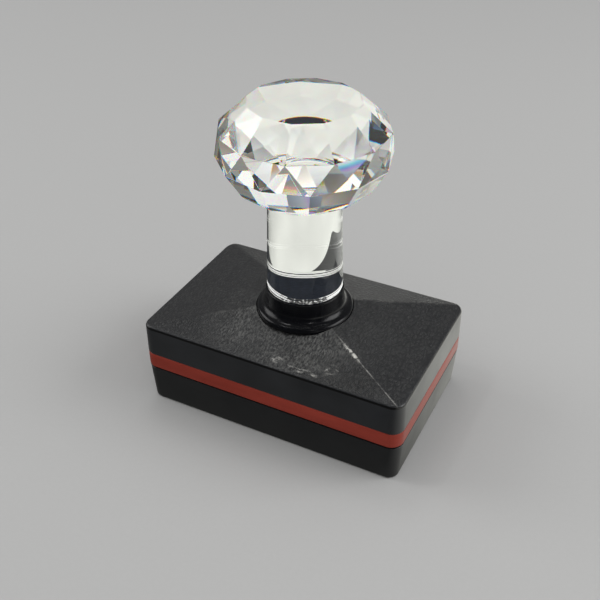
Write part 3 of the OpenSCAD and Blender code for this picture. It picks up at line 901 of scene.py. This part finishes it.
class STAMP_OT_ring(bpy.types.Operator):
    """Red ring with its two spigots"""

    bl_idname = "stamp.ring"
    bl_label = "Red ring"

    def execute(self, context):
        s = sizes()
        z0, z1, e = s.cap_lip, s.cap_lip + s.ring_height, s.edge_round
        profile = np.concatenate([
            [(s.ring_bore, RING_LO.z), (s.ring_spigot, RING_LO.z), (s.ring_spigot, z0)],
            arc(e, z0 + e, e, 270, 180, 5),
            arc(e, z1 - e, e, 180, 90, 5),
            [(s.shell_spigot, z1), (s.shell_spigot, RING_HI.z), (s.ring_bore, RING_HI.z)],
        ])
        ring = outline_block("ring_red", profile, loop=True)
        dress(ring, red_plastic("satin red", colours().ring), "stamp", "ring_red", "index_ring")
        return {"FINISHED"}


class STAMP_OT_cap(bpy.types.Operator):
    """Dust cap with its shadow step and rounded foot"""

    bl_idname = "stamp.cap"
    bl_label = "Cap"

    def execute(self, context):
        s = sizes()
        e, rim, fillet = s.cap_edge, s.cap_rim, s.cap_fillet
        profile = np.concatenate([
            arc(s.cap_inset + s.cap_draft + e, e, e, 270, 180, 8),
            arc(s.cap_inset + rim, s.cap_height - rim, rim, 180, 90, 4),
            [(s.step_width, s.cap_height), (s.step_width, s.cap_lip), (s.cap_bore, s.cap_lip)],
            [(s.cap_bore, s.cap_floor + fillet)],
            arc(s.cap_bore + fillet, s.cap_floor + fillet, fillet, 190, 270, 4),
        ])
        cap = outline_block("cap_black", profile)
        dress(cap, grained_black("grained black cap", colours().shell), "cap", "cap_black", "cap")
        return {"FINISHED"}


class STAMP_OT_springs(bpy.types.Operator):
    """Four return springs, each a round wire along a helix"""

    bl_idname = "stamp.springs"
    bl_label = "Return springs"

    def execute(self, context):
        s = sizes()
        r = s.wire / 2
        metal = worked_metal("spring wire", colours().wire, 0.28)
        steps = int(s.spring_turns * COIL_POINTS)
        t = np.linspace(0, s.spring_turns * 2 * math.pi, steps + 1)[:, None]
        q = np.arange(WIRE_POINTS) * 2 * math.pi / WIRE_POINTS
        for name in ("front_left", "front_right", "rear_left", "rear_right"):
            node = "spring_" + name
            lo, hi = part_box(node)
            middle = (lo + hi) / 2
            out = (hi.x - lo.x) / 2 - r + r * np.cos(q)
            z = lo.z + r + (hi.z - lo.z - 2 * r) * t / t[-1]
            rows = np.stack([middle.x + out * np.cos(t), middle.y + out * np.sin(t), z + r * np.sin(q)], -1)
            faces = closed_faces(len(rows), WIRE_POINTS)
            made = put_mesh("wire_" + name, rows.reshape(-1, 3), faces, sharp=60)
            dress(made, metal, "stamp", "spring_steel", node)
            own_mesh(made)
        return {"FINISHED"}


class STAMP_OT_die(bpy.types.Operator):
    """Foam die with softened edges, the frame that keeps it in its carrier and the felt behind it"""

    bl_idname = "stamp.die"
    bl_label = "Die, frame and felt"

    def execute(self, context):
        s, c = sizes(), colours()
        half, e, f = s.body_length / 2, s.edge_round, s.felt_round
        die_lo, die_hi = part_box("stamp_die")
        frame_lo, frame_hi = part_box("die_frame")
        felt_lo, felt_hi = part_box("ink_felt")
        flange, outer = half - die_hi.x, half - frame_hi.x
        ledge_z, window = die_hi.z - s.die_flange, flange + s.die_ledge
        face, bore = window + s.die_gap, outer + s.frame_wall
        die = np.concatenate([
            arc(face + e, die_lo.z + e, e, 270, 180, 5),
            [(face, ledge_z), (flange, ledge_z), (flange, die_hi.z)],
        ])
        made = outline_block("die_foam", die)
        dress(made, pore_foam("inked foam", c.foam), "stamp", "die_foam", "stamp_die")
        keeper = np.concatenate([
            arc(outer + e, frame_lo.z + e, e, 270, 180, 5),
            [(outer, frame_hi.z), (bore, frame_hi.z), (bore, ledge_z)],
            [(window, ledge_z), (window, frame_lo.z + e), (window - e, frame_lo.z)],
        ])
        made = outline_block("frame_grey", keeper, loop=True)
        dress(made, matte_plastic("frame grey", c.carrier), "stamp", "carrier_grey", "die_frame")
        felt = np.concatenate([
            arc(flange + f, felt_lo.z + f, f, 270, 180, 5),
            arc(flange + f, felt_hi.z - f, f, 180, 90, 5),
        ])
        made = outline_block("felt_pad", felt)
        dress(made, inked_felt("inked felt", c.felt), "stamp", "felt_ink", "ink_felt")
        return {"FINISHED"}


class STAMP_OT_inner(bpy.types.Operator):
    """Finishes of the solids inside: bezel, carrier and fasteners"""

    bl_idname = "stamp.inner"
    bl_label = "Inner pieces"

    def execute(self, context):
        c = colours()
        refinish("bezel", matte_plastic("bezel black", c.bezel))
        refinish("die_carrier", matte_plastic("carrier grey", c.carrier))
        refinish("collar_insert", worked_metal("turned brass", c.brass, 0.22))
        steel = worked_metal("plated steel", c.steel, 0.25)
        for node in ("carrier_screws", "handle_screw", "screw_washer"):
            refinish(node, steel)
        return {"FINISHED"}


def pale_floor():
    """Floor of a pale, slightly specked grey. Gloss sees it bright to the right and behind and dim in front;
    glass sees it white behind the stamp, grey further off and dim in front. Far off it has the backdrop's
    tone for the camera."""
    n = new_finish("pale floor")
    c = colours()
    speck = n.span(n.noise(900), 0.3, 0.7)
    plain = n.principled(n.tint(speck, scaled(c.floor, 0.985), c.floor), 0.8)
    path = n.add("ShaderNodeLightPath").outputs
    x, y, _ = n.place()
    side = n.plus(n.times(x, 0.8), n.times(y, 0.6))
    gloss = n.span(side, 0.01, 0.06, 0.1, 1.0)
    far = n.maths("SQRT", n.squares(x, y))
    clear = n.times(
        n.span(far, 0.09, 0.2, 0.9, 0.96),
        n.span(far, 0.17, 0.42, 1, 0.3),
        n.span(n.noise(22, 1.0, 0.5), 0.4, 0.6, 0.89, 1.03),
        n.span(y, -0.08, 0.02, 0.35, 1.0),
    )
    strength = n.either(path["Is Transmission Ray"], gloss, clear)
    white = n.shader("ShaderNodeEmission", Color=(1.0, 1.0, 0.93), Strength=strength)
    seen = n.most(path["Is Glossy Ray"], path["Is Transmission Ray"])
    even = n.shader("ShaderNodeEmission", Strength=bpy.context.scene.stamp_stage.backdrop)
    away = n.times(n.span(far, 0.3, 0.9), path["Is Camera Ray"])
    return n.show(n.blend(seen, n.blend(away, plain, even), white))


def studio_room():
    """World of soft light: an even fill from the front. Gloss sees a dim room; glass sees light and dark
    patches, whose edges are orange in places and blue in others; the camera sees the backdrop's tone."""
    w = Nodes(bpy.data.worlds.new("studio"), "ShaderNodeOutputWorld")
    path = w.add("ShaderNodeLightPath").outputs
    way = w.add("ShaderNodeTexCoord").outputs["Generated"]

    def sky(toward, dark, bright):
        """A tone that goes from dark to bright along a direction."""
        dot = w.add("ShaderNodeVectorMath", way, Vector(toward).normalized(), operation="DOT_PRODUCT")
        return w.span(dot.outputs["Value"], -0.6, 0.8, dark, bright)

    def patches(scale, seed):
        """Soft patches over the directions."""
        made = w.add("ShaderNodeTexNoise", way, noise_dimensions="4D", Scale=scale, W=seed, Detail=1.0)
        return made.outputs[0]

    def light(strength, tone=(1, 1, 1)):
        return w.shader("ShaderNodeBackground", Color=tone, Strength=strength)

    fill = sky((0.3, -0.9, 0.4), 0.36, 0.66)
    gloss = sky((-0.35, 0.9, 0.05), 0.032, 0.216)
    studio = light(w.either(path["Is Glossy Ray"], fill, gloss))
    patch = patches(3.5, 0.7)
    rise = w.maths("POWER", w.span(patch, 0.38, 0.6), 2.0)
    edge = w.times(w.within(patch, 0.505, 0.52, 0.53, 0.545), 0.9)
    fringe = w.tint(w.span(patches(2.3, 0), 0.47, 0.53), (1.0, 0.6, 0.28), (0.2, 0.45, 1.0))
    room = light(w.span(rise, 0, 1, 0.05, 1.1), w.tint(edge, (1.0, 0.99, 0.95), fringe))
    shown = w.blend(path["Is Transmission Ray"], studio, room)
    return w.show(w.blend(path["Is Camera Ray"], shown, light(bpy.context.scene.stamp_stage.backdrop)))


def softbox(name, place, aim, side, watts, in_glass=False):
    """A square lamp that faces the stamp's axis at the height of its aim. Glass shows it only if asked."""
    data = bpy.data.lights.new(name, "AREA")
    data.shape = "RECTANGLE"
    data.size = data.size_y = side
    data.energy = watts
    lamp = bpy.data.objects.new(name, data)
    lamp.visible_transmission = in_glass
    lamp.location = place
    lamp.rotation_euler = (Vector((0, 0, aim)) - Vector(place)).to_track_quat("-Z", "Y").to_euler()
    bpy.context.scene.collection.objects.link(lamp)


def photo_camera(st):
    """Camera at the photograph's place: a distance out along the view from the middle of the eave, then a
    step to its right and one along its up axis."""
    a, e = st.azimuth, st.elevation
    back_way = Vector((math.sin(a) * math.cos(e), -math.cos(a) * math.cos(e), math.sin(e)))
    right = Vector((math.cos(a), math.sin(a), 0))
    up = back_way.cross(right)
    cr, sr = math.cos(st.roll), math.sin(st.roll)
    right, up = cr * right + sr * up, cr * up - sr * right
    data = bpy.data.cameras.new("camera")
    data.lens = st.lens
    data.sensor_width = 36
    data.clip_start = 0.01
    camera = bpy.data.objects.new("camera", data)
    camera.matrix_world = Matrix((right, up, back_way)).transposed().to_4x4()
    middle = Vector((0, 0, eave_height()))
    camera.location = middle + st.distance * back_way + st.side * right + st.rise * up
    return camera


class STAMP_OT_stage(bpy.types.Operator):
    """Pale floor, soft studio light and the photograph's camera"""

    bl_idname = "stamp.stage"
    bl_label = "Stage"

    def execute(self, context):
        scene = context.scene
        r = scene.stamp_stage.floor_half
        floor = bpy.data.meshes.new("floor")
        floor.from_pydata([(-r, -r, 0), (r, -r, 0), (r, r, 0), (-r, r, 0)], [], [(0, 1, 2, 3)])
        floor.materials.append(pale_floor())
        ground = bpy.data.objects.new("floor", floor)
        scene.collection.objects.link(ground)
        scene.world = studio_room()
        softbox("softbox left", (-0.90, -0.15, 0.55), aim=0.04, side=0.6, watts=3.0)
        softbox("softbox right", (0.75, 0.25, 0.50), aim=0.04, side=0.6, watts=4.0)
        softbox("roof sheen", (-0.18, 0.24, 0.75), aim=0.03, side=0.22, watts=0.35)
        softbox("spark left", (-0.22, -0.10, 0.60), aim=0.07, side=0.035, watts=0.15, in_glass=True)
        softbox("spark right", (0.30, -0.30, 0.45), aim=0.07, side=0.03, watts=0.1, in_glass=True)
        scene.camera = photo_camera(scene.stamp_stage)
        scene.collection.objects.link(scene.camera)
        scene.view_settings.view_transform = "Standard"
        return {"FINISHED"}


class STAMP_PT_panel(bpy.types.Panel):
    """Lists the pieces, sizes and colours of the stamp"""

    bl_idname = "STAMP_PT_panel"
    bl_label = "Crystal Knob Stamp"
    bl_space_type = "VIEW_3D"
    bl_region_type = "UI"
    bl_category = "Stamp"

    def draw(self, context):
        for step in STEPS:
            self.layout.operator(step.bl_idname)
        for group in (context.scene.stamp_sizes, context.scene.stamp_colours, context.scene.stamp_stage):
            box = self.layout.box()
            for name in group.__annotations__:
                box.prop(group, name)


GROUPS = (("stamp_sizes", StampSizes), ("stamp_colours", StampColours), ("stamp_stage", StampStage))
OUTSIDE = (STAMP_OT_cap, STAMP_OT_ring, STAMP_OT_shell, STAMP_OT_collar, STAMP_OT_crystal)
STEPS = (*OUTSIDE, STAMP_OT_springs, STAMP_OT_die, STAMP_OT_inner, STAMP_OT_stage)


def register():
    for name, group in GROUPS:
        bpy.utils.register_class(group)
        setattr(bpy.types.Scene, name, PointerProperty(type=group))
    for step in (*STEPS, STAMP_PT_panel):
        bpy.utils.register_class(step)


def unregister():
    for step in (STAMP_PT_panel, *reversed(STEPS)):
        bpy.utils.unregister_class(step)
    for name, group in reversed(GROUPS):
        delattr(bpy.types.Scene, name)
        bpy.utils.unregister_class(group)


def main():
    register()
    for step in STEPS:
        family, name = step.bl_idname.split(".")
        getattr(getattr(bpy.ops, family), name)()


if __name__ == "__main__":
    main()
